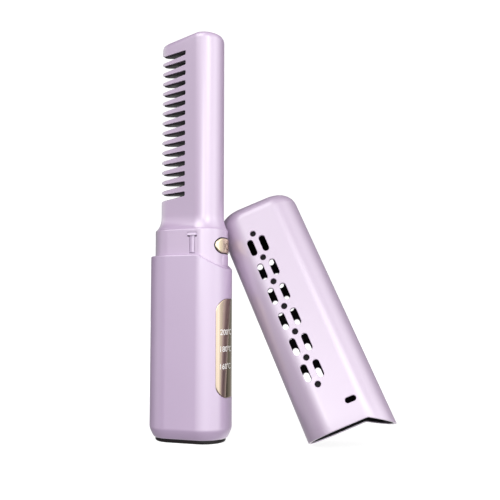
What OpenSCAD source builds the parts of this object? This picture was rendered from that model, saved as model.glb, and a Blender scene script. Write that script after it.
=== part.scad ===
// Cordless hot comb with a removable vented cap.
// Millimetres, +Z up, the comb stands on its base at the origin.
// +X is the spine and display side, -X the teeth, -Y the side with the cap catch.

/* [Handle] */
// half width of the handle across its long side
handle_half_w = 20.6; // [19.5:0.1:22]
// half thickness of the handle
handle_half_t = 13.2; // [12.6:0.1:14]
// height of the shoulder that the cap meets
shoulder_z = 89.5; // [87:0.5:93]
// wall of the handle sleeve
sleeve_wall = 2; // [1.8:0.1:2.2]

/* [Display] */
// half width of the display window
window_half_w = 9.1; // [8.5:0.1:9.6]
// length of the display window
window_len = 47; // [44:1:48]

/* [Head] */
// top of the head above the floor
head_top = 201.3; // [200.5:0.1:204]
// radius of the round spine
spine_r = 8.85; // [8.4:0.05:9]
// distance from one tooth to the next
tooth_pitch = 5.1; // [5:0.02:5.14]
// number of gaps between the teeth
slot_count = 15; // [10:1:15]

/* [Cap] */
// length of the cap from its edge to its top
cap_len = 119.3; // [119:0.1:122]
// wall of the cap's outer shell
cap_wall = 1; // [0.9:0.05:1.1]
// number of vent pairs in the cap
vent_pairs = 6; // [4:1:6]

/* [Hidden] */
$fn = 96;
HA = handle_half_w; HB = handle_half_t; HC = HA - HB;
inset = 2.1;
NA = HA - inset; NB = HB - inset;
neck_wall = 1.6;
shz = shoulder_z;
bend_x = 8.85;
drop = 0.6;
base_t = 1.9;
// head in plan: a round spine and a round tip joined by two flats
sx = 7.65; tx = -15.5; tr = 1.0;
hL = sx - tx;
sa = (spine_r - tr) / hL;
ca = sqrt(1 - sa * sa);
function hy(x, o) = (spine_r - sa * sx - o + sa * x) / ca;
slot_z = 193.04;
flare0 = shz + 12.9; flare1 = shz + 18.2;
// neck button
bz = shz + 4.8; bw = 7.4; bh = 3.6;
// cap catch
catch_x = 5.0; catch_z = shz + 10.2;
// vents in the cap
vent_x = -5.9; vent_dx = 3.12; vent_p = 13.34; vent_z0 = 22.07;
// where the cap leans
cap_at = [76.76, 8.48, 8.98];
cap_turn = [-14.54, -22.95, 17.39];

// ---------- shapes ----------
module stadium(a, b) {
  translate([a - b, 0]) circle(b);
  translate([b - a, 0]) circle(b);
  square([2 * (a - b), 2 * b], center = true);
}
module slab(a, b, z0, z1) { translate([0, 0, z0]) linear_extrude(z1 - z0) stadium(a, b); }
// right half of a rounded profile, rb at the bottom and rt at the top
module half_profile(b, z0, z1, rb, rt) {
  translate([0, z0 + rb]) square([b, z1 - z0 - rb - rt]);
  if (rb > 0) { translate([0, z0]) square([b - rb, rb + 0.01]); intersection() { translate([b - rb, z0 + rb]) circle(rb, $fn = 48); translate([0, z0]) square([b, rb + 0.01]); } }
  if (rt > 0) { translate([0, z1 - rt - 0.01]) square([b - rt, rt + 0.01]); intersection() { translate([b - rt, z1 - rt]) circle(rt, $fn = 48); translate([0, z1 - rt - 0.01]) square([b, rt + 0.01]); } }
}
module rounded_stadium(a, b, z0, z1, rb, rt) {
  for (s = [-1, 1]) translate([s * (a - b), 0, 0]) rotate_extrude() half_profile(b, z0, z1, rb, rt);
  rotate([90, 0, 90]) translate([0, 0, b - a]) linear_extrude(2 * (a - b)) { half_profile(b, z0, z1, rb, rt); mirror([1, 0]) half_profile(b, z0, z1, rb, rt); }
}
// everything below the shoulder line, moved down by dz
module below_shoulder(dz) {
  rotate([90, 0, 0]) translate([0, 0, -40]) linear_extrude(80)
    polygon([[-60, -40], [60, -40], [60, shz - dz - drop * (60 - bend_x)], [bend_x, shz - dz], [-60, shz - dz]]);
}
module above_shoulder(z) {
  rotate([90, 0, 0]) translate([0, 0, -40]) linear_extrude(80)
    polygon([[-60, z], [bend_x, z], [60, z - drop * (60 - bend_x)], [60, 400], [-60, 400]]);
}
module round_rect(w, h, r) {
  square([w - 2 * r, h], center = true); square([w, h - 2 * r], center = true);
  for (i = [-1, 1], j = [-1, 1]) translate([i * (w / 2 - r), j * (h / 2 - r)]) circle(r, $fn = 48);
}
// a shape drawn in Y and Z, pushed along +X from x0 to x1
module along_x(x0, x1) { translate([x0, 0, 0]) rotate([90, 0, 90]) linear_extrude(x1 - x0) children(); }
module along_y(y0, y1) { translate([0, y1, 0]) rotate([90, 0, 0]) linear_extrude(y1 - y0) children(); }
module ring_end(r1, r0, z0, z1) {
  translate([HC, 0, z0]) difference() { cylinder(r = r1, h = z1 - z0); translate([0, 0, -1]) cylinder(r = r0, h = z1 - z0 + 2); }
}
module pill(w, h) { r = h / 2; square([w - h, h], center = true); for (s = [-1, 1]) translate([s * (w / 2 - r), 0]) circle(r, $fn = 64); }
module wedge2d(o) {
  translate([sx, 0]) circle(spine_r - o);
  translate([tx, 0]) circle(max(tr - o, 0.05), $fn = 32);
  polygon([[sx - (spine_r - o) * sa, (spine_r - o) * ca], [tx - max(tr - o, 0.05) * sa, max(tr - o, 0.05) * ca],
           [tx - max(tr - o, 0.05) * sa, -max(tr - o, 0.05) * ca], [sx - (spine_r - o) * sa, -(spine_r - o) * ca]]);
}
module core2d(c, x0, x1) {
  polygon([[x0, hy(x0, 0.6) + c], [-1.3 + c, hy(-1.3, 0.6) + c], [-1.3 + c, 4.6 + c], [x1, 4.6 + c],
           [x1, -4.6 - c], [-1.3 + c, -4.6 - c], [-1.3 + c, -hy(-1.3, 0.6) - c], [x0, -hy(x0, 0.6) - c]]);
}
// one gap between two teeth: in the shells, and narrower in the core, whose teeth show below the shells' teeth
module slot2d() {
  polygon([[-18, -0.46], [-12, -0.44], [-2.4, -0.26], [-1.6, -0.5], [-1.2, -0.95], [-1.2, -1.7], [-1.7, -2.3], [-8.5, -3.17], [-15, -3.84], [-18, -4.1]]);
}
module core_slot2d() {
  polygon([[-18, -0.75], [-15.4, -0.8], [-13.8, -1.12], [-2.2, -1.15], [-1.5, -1.4], [-1.44, -1.8], [-1.9, -2.2], [-8.5, -3], [-15, -3.65], [-18, -3.9]]);
}
module slots() { for (i = [0 : slot_count - 1]) translate([0, 0, slot_z - tooth_pitch * i]) along_y(-12, 12) children(); }
module head_outer() {
  intersection() {
    translate([0, 0, flare1]) linear_extrude(head_top - flare1) wedge2d(0);
    along_y(-20, 20) { translate([-16.5, 90]) square([33, head_top - 94.25]); translate([-13.3, 100]) square([26.6, head_top - 100]);
      translate([-13.3, head_top - 4.25]) circle(3.2, $fn = 48); translate([13.3, head_top - 3.8]) circle(3.2, $fn = 48); translate([13.3, 90]) square([3.2, head_top - 93.8]); }
    // the top is a shallow crown, highest near the middle
    along_y(-20, 20) translate([2, head_top - 111]) circle(111, $fn = 360);
    along_x(-30, 30) { translate([-8.9, 90]) square([17.8, head_top - 92.6]); translate([-6.3, 100]) square([12.6, head_top - 100]);
      for (s = [-1, 1]) translate([s * 6.3, head_top - 2.6]) circle(2.6, $fn = 48); }
  }
  hull() {
    translate([0, 0, flare1]) linear_extrude(0.3) wedge2d(0.06, $fn = 32);
    slab(NA - 0.5, NB - 0.5, flare0 - 0.3, flare0, $fn = 32);
    slab(NA - 0.1, NB - 0.1, flare0 - 1.2, flare0 - 0.9, $fn = 32);
  }
  slab(NA, NB, 80, flare0 - 1.0);
}
module head_hollow() {
  slab(NA - neck_wall, NB - neck_wall, 79, shz + 12);
  translate([sx, 0, shz + 11]) cylinder(r = 5.8, h = 10);
  intersection() {
    translate([0, 0, shz + 20]) linear_extrude(head_top - 2.4 - shz - 20) wedge2d(1.5);
    translate([-0.3, -20, 100]) cube([30, 40, 120]);
  }
  translate([0, 0, 111.9]) linear_extrude(85.2) core2d(0.05, -15.2, 3.1);
}
module button_hole(e) { translate([0, 0, bz]) along_x(HC + 3, 30) pill(2 * (bw + e), 2 * (bh + e)); }
module head_shell(s) {
  difference() {
    union() {
      difference() { head_outer(); head_hollow(); }
      // posts for the screws that join the halves, and for the chassis screws
      for (x = [-6, 6.5]) along_y(-NB + 1, NB - 1) translate([x, 84.4]) circle(2.3, $fn = 48);
      for (y = [-1, 1]) intersection() { translate([-12.2, y * 5, 80]) { cylinder(r = 2.1, h = 8, $fn = 48); translate([-1, y < 0 ? -6 : 0, 0]) cube([2, 6, 8]); } slab(NA - 1, NB - 1, 79, 90); }
      // rib behind the button's board, and ribs behind the heater springs
      intersection() { slab(NA - 1, NB - 1, 87.6, 99.3); translate([4.4, -11, 87.6]) cube([1.4, 22, 11.7]); }
      for (z = [122, 154, 186]) intersection() {
        translate([0, 0, z - 6]) linear_extrude(12) wedge2d(1); translate([11.2, -9, z - 6]) cube([6, 18, 12]); }
    }
    slots() slot2d();
    button_hole(0.65);
    // room for the wires in the board's rib
    translate([4, -3.4, 87]) cube([4, 6.8, 1]);
    if (s < 0) translate([catch_x - 3.2, -NB + neck_wall, shz + 0.8]) cube([6.4, 1.4, 11.2]);
    // screw holes
    for (x = [-6, 6.5]) { along_y(-8.5, 12) translate([x, 84.4]) circle(0.85, $fn = 24); along_y(NB - 2.2, 12) translate([x, 84.4]) circle(1.9, $fn = 48); }
    for (y = [-5, 5]) translate([-12.2, y, 79]) cylinder(r = 0.85, h = 7.5, $fn = 24);
    // window for the catch, and the flat that the cap rides on below the button
    if (s < 0) { translate([catch_x - 1.6, -NB - 1, shz + 0.8]) cube([3.2, 3.4, 10.5]); translate([catch_x - 2.8, -NB - 1, catch_z - 1.1]) cube([5.6, 3.4, 2.3]); }
    translate([-40, s < 0 ? 0 : -40, 0]) cube([80, 40, 260]);
  }
}

// ---------- handle ----------
module handle_sleeve() {
  color("plum") difference() {
    intersection() { rounded_stadium(HA, HB, base_t, 100, 2.8, 0); below_shoulder(0); }
    slab(HA - sleeve_wall, HB - sleeve_wall, 3.6, 78);
    slab(17.4, 10, 70, 90);
    slab(HA - sleeve_wall, HB - sleeve_wall, 80, 110);
    slab(16.9, 9.5, 0, 5);
    intersection() { translate([0, 0, 45]) along_x(8, 30) round_rect(2 * window_half_w + 0.1, window_len + 0.1, 6); ring_end(HB + 1, HB - 1.2, 15, 75); }
    translate([0, 0, 45]) along_x(12, 30) round_rect(12, 36, 3);
  }
}
module base_cover() {
  color("dimgray") difference() {
    union() { slab(17.7, 10.3, 0, base_t); slab(16.8, 9.4, base_t - 0.1, 3.5); }
    slab(15.2, 7.8, 2.2, 5);
    translate([7.45, 0, -1]) linear_extrude(6) rotate(90) pill(9.9, 4.1);
    for (x = [-12.6, 12.6]) translate([x, 0, -1]) { cylinder(r = 1.1, h = 8, $fn = 32); cylinder(r = 2.1, h = 2, $fn = 48); }
  }
  color("dimgray") for (x = [-12.6, 12.6]) translate([x, 0, 2.1]) difference() { cylinder(r = 2.3, h = 1.4, $fn = 48); translate([0, 0, -1]) cylinder(r = 1.1, h = 4, $fn = 32); }
}
module base_screws() {
  color("silver") for (x = [-12.6, 12.6]) translate([x, 0, 0.2]) difference() {
    union() { cylinder(r = 1.95, h = 0.8, $fn = 48); cylinder(r = 0.95, h = 6.6, $fn = 32); }
    for (a = [0, 90]) rotate(a) translate([-1.2, -0.25, -0.1]) cube([2.4, 0.5, 0.5]);
  }
}
module chassis() {
  color("gray") difference() {
    union() {
      slab(18.4, 11, 3.7, 6.4);
      slab(18.4, 11, 75.4, 77.9);
      intersection() { slab(18.4, 11, 6, 76); translate([-30, -20, 0]) cube([28, 40, 90]); }
      for (x = [-12.6, 12.6]) translate([x, 0, 5]) cylinder(r = 2.4, h = x > 0 ? 4.5 : 1.6, $fn = 48);
    }
    // bed of the cell
    translate([-HC, 0, 6.6]) cylinder(r = 9.5, h = 68.6);
    translate([-6, -9.5, 6.6]) cube([12, 19, 68.6]);
    // board, socket and wires
    translate([4.4, -9.2, 5]) cube([1.6, 18.4, 68.6 + 1.6]);
    translate([4.4, -5, 3]) cube([5, 10, 10]);
    translate([-1, -4, 70]) cube([8, 8, 10]);
    for (y = [-5, 5]) translate([-12.2, y, 70]) cylinder(r = 1.15, h = 12, $fn = 32);
    for (y = [-5, 5]) translate([-12.2, y, 75.2]) cylinder(r = 2.1, h = 1.1, $fn = 48);
    for (x = [-12.6, 12.6]) translate([x, 0, 3]) cylinder(r = 1, h = 5.6, $fn = 24);
  }
}
module battery_cell() {
  color("royalblue") translate([-HC, 0, 0]) { translate([0, 0, 7.4]) cylinder(r = 9.2, h = 64); translate([0, 0, 71.3]) cylinder(r = 3.2, h = 0.9, $fn = 48); }
}
module cell_tabs() {
  color("silver") { translate([-11, -3, 72.25]) cube([9.6, 6, 0.25]); translate([-11, -3, 7.1]) cube([9.6, 6, 0.25]);
    translate([-1.45, -3, 72.25]) cube([3.6, 1.5, 0.25]); translate([-1.45, -3, 7.1]) cube([3.6, 1.5, 0.25]); }
}
module main_board() {
  color("green") difference() { translate([4.6, -9, 6.6]) cube([1.2, 18, 66.6]); for (z = [14, 70], y = [-7.4, 7.4]) translate([4, y, z]) rotate([0, 90, 0]) cylinder(r = 0.8, h = 3, $fn = 24); }
}
module board_parts() {
  color("black") { translate([2.9, -3.5, 40]) cube([1.7, 7, 7]); translate([2.9, -6.5, 24]) cube([1.7, 5, 6]); translate([2.9, 2, 22]) cube([1.7, 6, 6]);
    translate([5.8, -7.5, 14]) cube([3.6, 6, 6]); translate([5.8, 2, 13]) cube([2.2, 5, 9]); translate([5.8, 4, 58]) cube([2, 3, 8]); translate([5.8, -7, 58]) cube([2, 3, 8]); }
}
module usb_socket() {
  color("silver") translate([7.45, 0, 1.4]) difference() {
    union() { linear_extrude(7.3) rotate(90) pill(8.9, 3.2); translate([-1.65, -4.45, 3]) cube([1.4, 8.9, 4.3]); }
    translate([0, 0, -1]) linear_extrude(7) rotate(90) difference() { pill(8.3, 2.6); square([6.6, 0.7], center = true); }
  }
}
module board_header() {
  color("black") for (z = [30, 60]) { translate([5.8, -4, z - 1.2]) cube([2.5, 8, 2.4]); for (y = [-3, -1, 1, 3]) translate([8.2, y - 0.3, z - 0.3]) cube([4.9, 0.6, 0.6]); }
}
module display_board() { color("green") translate([13.2, -7.4, 23]) cube([1, 14.8, 44]); }
module display_leds() {
  color("white") for (z = [37, 44.6, 52.2]) translate([14.2, -4.8, z - 3]) cube([3, 9.6, 6]);
}
module display_window() {
  color("goldenrod") intersection() { translate([0, 0, 45]) along_x(8, 30) round_rect(2 * window_half_w, window_len, 6); ring_end(HB, HB - 1.15, 15, 75); }
}

// ---------- head ----------
module head_front_shell() { color("thistle") { head_shell(-1); neck_pad(-1); } }
module head_rear_shell() { color("plum") { head_shell(1); neck_pad(1); } }
// raised pad below the button that guides the cap
module neck_pad(s) {
  intersection() {
    along_x(HC + 4, 30) translate([0, 87.05]) square([7, 4.9], center = true);
    ring_end(NB + 0.15, NB - 0.6, 80, 95);
    translate([0, s < 0 ? -40 : 0, 0]) cube([60, 40, 260]);
  }
}
module shell_screws() {
  color("silver") for (x = [-6, 6.5]) translate([0, 0, 0]) { along_y(-8, NB - 1.4) translate([x, 84.4]) circle(0.8, $fn = 24); along_y(NB - 2.2, NB - 0.9) translate([x, 84.4]) circle(1.8, $fn = 48); }
}
module neck_screws() {
  color("silver") for (y = [-5, 5]) translate([-12.2, y, 0]) { translate([0, 0, 75.3]) cylinder(r = 1.95, h = 1, $fn = 48); translate([0, 0, 76]) cylinder(r = 0.8, h = 9, $fn = 24); }
}
module heater_comb() {
  color([0.15, 0.15, 0.17]) difference() {
    translate([0, 0, 112]) linear_extrude(85) core2d(0, -15.2, 3);
    slots() core_slot2d();
  }
}
module heater_plates() { color("ivory") for (z = [135, 173]) translate([3.35, -4, z - 16]) cube([2.3, 8, 32]); }
module heater_electrodes() { color("orange") for (x = [3.05, 5.7]) { translate([x, -4, 115]) cube([0.25, 8, 78]); } }
module mica_sheet() { color("khaki") translate([6, -4.6, 113]) cube([0.4, 9.2, 82]); }
module pressure_bar() { color("gray") translate([6.45, -4, 116]) cube([1.1, 8, 76]); }
module pressure_springs() {
  color("silver") for (z = [122, 154, 186]) translate([-7.55, 0, z]) intersection() {
    rotate([90, 0, 0]) translate([0, 0, -2.5]) linear_extrude(5) difference() { circle(18.7, $fn = 96); circle(18.3, $fn = 96); }
    translate([15.2, -4, -8]) cube([5, 8, 16]);
  }
}
module thermistor() { color("red") translate([4.6, 4.85, 0]) { translate([0, 0, 150]) cylinder(r = 0.75, h = 4, $fn = 32); translate([0, 0, 154]) sphere(0.75, $fn = 32); } }
module thermal_fuse() { color("tan") translate([9.4, 4.9, 0]) { translate([0, 0, 132]) cylinder(r = 1.3, h = 9, $fn = 32); translate([0, 0, 129.5]) cylinder(r = 0.3, h = 14, $fn = 24); } }
module heat_barrier() {
  color("khaki") difference() { slab(NA - neck_wall - 0.15, NB - neck_wall - 0.15, 99.8, 101.2); for (y = [-2.4, 2.4]) translate([3.4, y, 99]) cylinder(r = 0.9, h = 4, $fn = 32); translate([catch_x - 3.4, -12, 99]) cube([6.8, 3.9, 4]); }
}
module wire(p, q, r) {
  d = q - p; l = norm(d);
  translate(p) rotate([0, acos(d[2] / l), atan2(d[1], d[0])]) cylinder(r = r, h = l, $fn = 32);
  translate(q) sphere(r, $fn = 32);
}
module heater_leads() {
  color("red") for (s = [-1, 1]) { wire([9.4, 2.4 * s, 113.5], [9.4, 2.4 * s, 110.5], 0.6); wire([9.4, 2.4 * s, 110.5], [3.4, 2.4 * s, 106], 0.6); wire([3.4, 2.4 * s, 106], [3.4, 2.4 * s, 71], 0.6); wire([3.4, 2.4 * s, 71], [3.9, 2.4 * s, 69], 0.6); }
}

// ---------- button and catch ----------
module button_board() { color("green") translate([5.85, -6, 88.2]) cube([1, 12, 10.4]); }
module button_switch() { color("black") { translate([6.9, -3, bz - 3]) cube([2.5, 6, 6]); translate([9.35, 0, bz]) rotate([0, 90, 0]) cylinder(r = 1.7, h = 0.7, $fn = 32); } }
module button_ring() {
  color("black") intersection() {
    difference() { button_hole(0.6); button_hole(0.3); }
    ring_end(NB + 0.1, NB - neck_wall, bz - 8, bz + 8);
  }
}
module power_button() {
  color("gold") {
    intersection() { button_hole(0); ring_end(NB + 0.45, NB - neck_wall - 0.5, bz - 8, bz + 8); }
    intersection() { button_hole(0.8); ring_end(NB - neck_wall - 0.35, NB - neck_wall - 1.2, bz - 8, bz + 8); }
    translate([11.1, 0, bz]) rotate([0, 90, 0]) cylinder(r = 1.6, h = 4.6, $fn = 32);
  }
}
module cap_catch() {
  color("plum") {
    translate([catch_x - 1.25, -NB, shz + 1.1]) cube([2.5, 1.1, catch_z + 0.8 - shz - 1.1]);
    translate([catch_x - 2.45, -NB, catch_z - 0.8]) cube([4.9, 1.1, 1.6]);
    // barb that stands proud of the neck
    translate([catch_x - 2.1, 0, 0]) rotate([90, 0, 90]) linear_extrude(4.2) polygon([[-NB + 0.1, catch_z - 0.8], [-NB - 0.7, catch_z - 0.7], [-NB - 0.7, catch_z - 0.1], [-NB + 0.1, catch_z + 0.8]]);
  }
}

// ---------- cap ----------
module cap_vents(y0, y1) {
  for (k = [0 : vent_pairs - 1], s = [-1, 1]) along_y(y0, y1) translate([vent_x + s * vent_dx, vent_z0 + (k + 0.5) * vent_p]) rotate(90) pill(8.56, 3.1);
}
module cap_dots(y0, y1) {
  for (k = [0 : vent_pairs]) along_y(y0, y1) translate([vent_x, vent_z0 + k * vent_p]) circle(1.45, $fn = 48);
}
module cap_edge() {
  rotate([90, 0, 0]) translate([0, 0, -40]) linear_extrude(80) polygon([[-60, 0], [bend_x, 0], [60, -drop * (60 - bend_x)], [60, 400], [-60, 400]]);
}
module cap_body(a, b, o, top, r) { rounded_stadium(a, b, -20, top, 0, r); }
module place_cap() { translate(cap_at) rotate(cap_turn) children(); }
module cap_shell() {
  color("plum") place_cap() difference() {
    intersection() { cap_body(HA, HB, 0, cap_len, 7.5); cap_edge(); }
    cap_body(HA - cap_wall, HB - cap_wall, 0, cap_len - cap_wall, 7.5 - cap_wall);
    cap_vents(-20, 20);
    cap_dots(-20, 20);
    along_y(-20, 0) translate([catch_x, catch_z - shz]) pill(5.3, 2.6);
  }
}
module cap_liner() {
  color("black") place_cap() difference() {
    intersection() { cap_body(HA - cap_wall - 0.05, HB - cap_wall - 0.05, 0, cap_len - cap_wall - 0.05, 6.45); cap_edge(); }
    cap_body(NA + 0.3, NB + 0.3, 0, cap_len - cap_wall - 0.8, 5.7);
    // room for the button as the cap slides over it
    translate([12, -8.8, -20]) cube([10, 17.6, 29.4]);
    cap_vents(-20, 20);
    along_y(-20, 0) translate([catch_x, catch_z - shz]) pill(5.3, 2.6);
  }
}

handle_sleeve();
base_cover();
base_screws();
chassis();
battery_cell();
cell_tabs();
main_board();
board_parts();
usb_socket();
board_header();
display_board();
display_leds();
display_window();
head_front_shell();
head_rear_shell();
shell_screws();
neck_screws();
heater_comb();
heater_plates();
heater_electrodes();
mica_sheet();
pressure_bar();
pressure_springs();
thermistor();
thermal_fuse();
heat_barrier();
heater_leads();
button_board();
button_switch();
button_ring();
power_button();
cap_catch();
cap_shell();
cap_liner();
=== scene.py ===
import math

import bpy
import bmesh
import numpy as np
from mathutils import Matrix, Vector


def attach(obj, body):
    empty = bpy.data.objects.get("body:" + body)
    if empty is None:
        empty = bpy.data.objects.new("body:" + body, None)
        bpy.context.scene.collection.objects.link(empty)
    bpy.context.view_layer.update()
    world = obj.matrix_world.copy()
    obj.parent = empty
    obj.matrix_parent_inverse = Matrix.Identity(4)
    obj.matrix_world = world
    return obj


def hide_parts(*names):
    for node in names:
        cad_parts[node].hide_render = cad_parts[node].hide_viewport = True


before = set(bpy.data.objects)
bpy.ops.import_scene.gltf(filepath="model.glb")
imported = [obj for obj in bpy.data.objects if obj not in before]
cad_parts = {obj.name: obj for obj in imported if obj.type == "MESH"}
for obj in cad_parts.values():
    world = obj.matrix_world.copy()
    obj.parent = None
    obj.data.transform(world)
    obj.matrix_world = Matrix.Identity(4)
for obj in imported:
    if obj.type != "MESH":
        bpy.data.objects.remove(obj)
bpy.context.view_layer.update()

scene = bpy.context.scene
scene.view_settings.view_transform = "Standard"
scene.view_settings.look = "None"

# ------------------------------------------------------------------ camera
cam = bpy.data.objects.new("camera", bpy.data.cameras.new("camera"))
scene.collection.objects.link(cam)
cam.data.sensor_width = 36.0
cam.data.lens = 52.94
cam.data.clip_start = 0.01
cam.data.clip_end = 20.0
cam.location = (0.14632, -0.33477, 0.06392)
cam.rotation_euler = (math.radians(94.544), 0.0, math.radians(19.051))
scene.camera = cam

# ------------------------------------------------------------------ dimensions, in millimetres, as the CAD has them
HA, HB, HC = 20.6, 13.2, 7.4
NA, NB = 18.5, 11.1
SHZ, BEND, DROP = 89.5, 8.85, 0.6
SX, TX, TR, SR = 7.65, -15.5, 1.0, 8.85
SA = (SR - TR) / (SX - TX)
CA = math.sqrt(1 - SA * SA)
SLOT_Z, PITCH, SLOTS = 193.04, 5.1, 15
CATCH_X, CATCH_Z = 5.0, SHZ + 10.2
BTN_Z = SHZ + 4.8
CAP_L = 119.3
VENT_X, VENT_DX, VENT_P, VENT_Z0 = -5.9, 3.12, 13.34, 22.07
HEAD_TOP = 201.25
CAP_AT = Vector((76.76, 8.48, 8.98))


def turn(axis, deg):
    return Matrix.Rotation(math.radians(deg), 4, axis)


CAP_M = Matrix.Translation(CAP_AT) @ turn("Z", 17.39) @ turn("Y", -22.95) @ turn("X", -14.54)
CAP_MI = CAP_M.inverted()


def ramp(t, w=0.7):
    """0 below -w, t above w, and a parabola between them."""
    t = np.asarray(t, float)
    return np.where(t < -w, 0.0, np.where(t > w, t, (t + w) ** 2 / (4 * w)))


def shoulder(x):
    return SHZ - DROP * ramp(np.asarray(x, float) - BEND)


def cap_edge(x):
    return -DROP * ramp(np.asarray(x, float) - BEND)


# ------------------------------------------------------------------ mesh tools (millimetres until done())
def raw(name, verts, faces):
    me = bpy.data.meshes.new(name)
    me.from_pydata([tuple(map(float, v)) for v in verts], [], faces)
    bm = bmesh.new()
    bm.from_mesh(me)
    bmesh.ops.remove_doubles(bm, verts=bm.verts, dist=2e-4)
    bmesh.ops.dissolve_degenerate(bm, edges=bm.edges, dist=1e-5)
    bmesh.ops.recalc_face_normals(bm, faces=bm.faces)
    bm.to_mesh(me)
    bm.free()
    ob = bpy.data.objects.new(name, me)
    scene.collection.objects.link(ob)
    return ob


def sweep(name, rings, loop_rows=False, cap_first=False, cap_last=False):
    """Quads between rings of points; each ring is closed on itself."""
    rings = [np.asarray(r, float) for r in rings]
    n, m = len(rings), len(rings[0])
    verts = np.vstack(rings)
    faces = []
    for i in range(n if loop_rows else n - 1):
        a, b = i * m, ((i + 1) % n) * m
        for j in range(m):
            k = (j + 1) % m
            faces.append((a + j, a + k, b + k, b + j))
    if cap_first:
        faces.append(tuple(range(m))[::-1])
    if cap_last:
        faces.append(tuple(range((n - 1) * m, n * m)))
    return raw(name, verts, faces)


def settle(ob):
    dg = bpy.context.evaluated_depsgraph_get()
    dg.update()
    me = bpy.data.meshes.new_from_object(ob.evaluated_get(dg))
    old = ob.data
    ob.modifiers.clear()
    ob.data = me
    bpy.data.meshes.remove(old)


def drop(ob):
    me = ob.data
    bpy.data.objects.remove(ob)
    bpy.data.meshes.remove(me)


def open_edges(me):
    bm = bmesh.new()
    bm.from_mesh(me)
    n = sum(1 for e in bm.edges if len(e.link_faces) != 2)
    bm.free()
    return n


def cut(ob, tool, op="DIFFERENCE", keep=False, solver="MANIFOLD"):
    before = len(ob.data.vertices)
    for s in (solver, "EXACT"):
        m = ob.modifiers.new("cut", "BOOLEAN")
        m.operation = op
        m.object = tool
        try:
            m.solver = s
        except TypeError:
            m.solver = "EXACT"
        dg = bpy.context.evaluated_depsgraph_get()
        dg.update()
        me = bpy.data.meshes.new_from_object(ob.evaluated_get(dg))
        ob.modifiers.clear()
        if len(me.vertices) and len(me.vertices) != before and open_edges(me) == 0:
            break
    old = ob.data
    ob.data = me
    bpy.data.meshes.remove(old)
    if not keep:
        drop(tool)
    return ob


def join(name, obs):
    """One mesh object from several, without operators."""
    verts, faces, k = [], [], 0
    for o in obs:
        verts += [tuple(v.co) for v in o.data.vertices]
        faces += [tuple(i + k for i in p.vertices) for p in o.data.polygons]
        k += len(o.data.vertices)
        drop(o)
    me = bpy.data.meshes.new(name)
    me.from_pydata(verts, [], faces)
    ob = bpy.data.objects.new(name, me)
    scene.collection.objects.link(ob)
    return ob


def tidy(ob, angle=30.0, normal=None):
    """Smooth shading with sharp edges kept. normal(points) gives the exact normals of the main surface, and which points lie on it."""
    me = ob.data
    n = len(me.polygons)
    me.polygons.foreach_set("use_smooth", np.ones(n, bool))
    me.set_sharp_from_angle(angle=math.radians(angle))
    if normal is None:
        return ob
    co = np.zeros(len(me.vertices) * 3, np.float32)
    me.vertices.foreach_get("co", co)
    N, on = normal(co.reshape(-1, 3).astype(float))
    lv = np.zeros(len(me.loops), np.int32)
    me.loops.foreach_get("vertex_index", lv)
    pn = np.zeros(n * 3, np.float32)
    me.polygons.foreach_get("normal", pn)
    pn = pn.reshape(-1, 3)
    tot = np.zeros(n, np.int32)
    me.polygons.foreach_get("loop_total", tot)
    start = np.zeros(n, np.int32)
    me.polygons.foreach_get("loop_start", start)
    owner = np.repeat(np.arange(n), tot)
    whole = np.minimum.reduceat(on[lv].astype(np.int8), start).astype(bool)
    use = whole[owner] & ((pn[owner] * N[lv]).sum(1) > 0.93)
    out = np.where(use[:, None], N[lv], 0.0)
    me.normals_split_custom_set(out.tolist())
    return ob


def done(ob, body, replaces=(), matrix=None):
    """Millimetres to metres, in place, riding on its body."""
    m = Matrix.Scale(0.001, 4)
    if matrix is not None:
        m = m @ matrix
    ob.data.transform(m)
    ob.data.update()
    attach(ob, body)
    if replaces:
        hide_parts(*replaces)
    n = open_edges(ob.data)
    ob.data.calc_loop_triangles()
    extra = sum(t.area for t in ob.data.loop_triangles) / max(sum(f.area for f in ob.data.polygons), 1e-12) - 1
    print("surface", ob.name, "%.5f" % extra)
    print("piece", ob.name, len(ob.data.vertices), "verts", "OPEN %d" % n if n else "closed")
    return ob


def bevel(ob, width, segments=2, angle=35.0):
    m = ob.modifiers.new("bevel", "BEVEL")
    m.width = width
    m.segments = segments
    m.limit_method = "ANGLE"
    m.angle_limit = math.radians(angle)
    m.use_clamp_overlap = True
    settle(ob)
    return ob


# outlines
def stadium_cols(c, na=60, nf=1):
    """Centres and normals round a stadium: right arc, +Y flat, left arc, -Y flat."""
    cx, nx, ny = [], [], []
    for i in range(na + 1):
        t = math.radians(-90 + 180 * i / na)
        cx.append(c), nx.append(math.cos(t)), ny.append(math.sin(t))
    for i in range(1, nf):
        cx.append(c - 2 * c * i / nf), nx.append(0.0), ny.append(1.0)
    for i in range(na + 1):
        t = math.radians(90 + 180 * i / na)
        cx.append(-c), nx.append(math.cos(t)), ny.append(math.sin(t))
    for i in range(1, nf):
        cx.append(-c + 2 * c * i / nf), nx.append(0.0), ny.append(-1.0)
    return np.array(cx), np.array(nx), np.array(ny)


def stadium_ring(cols, r, z):
    """z is a number or a function of x."""
    cx, nx, ny = cols
    r = max(r, 0.0)
    x, y = cx + r * nx, r * ny
    zz = z(x) if callable(z) else np.full(len(x), float(z))
    return np.c_[x, y, zz]


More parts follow.
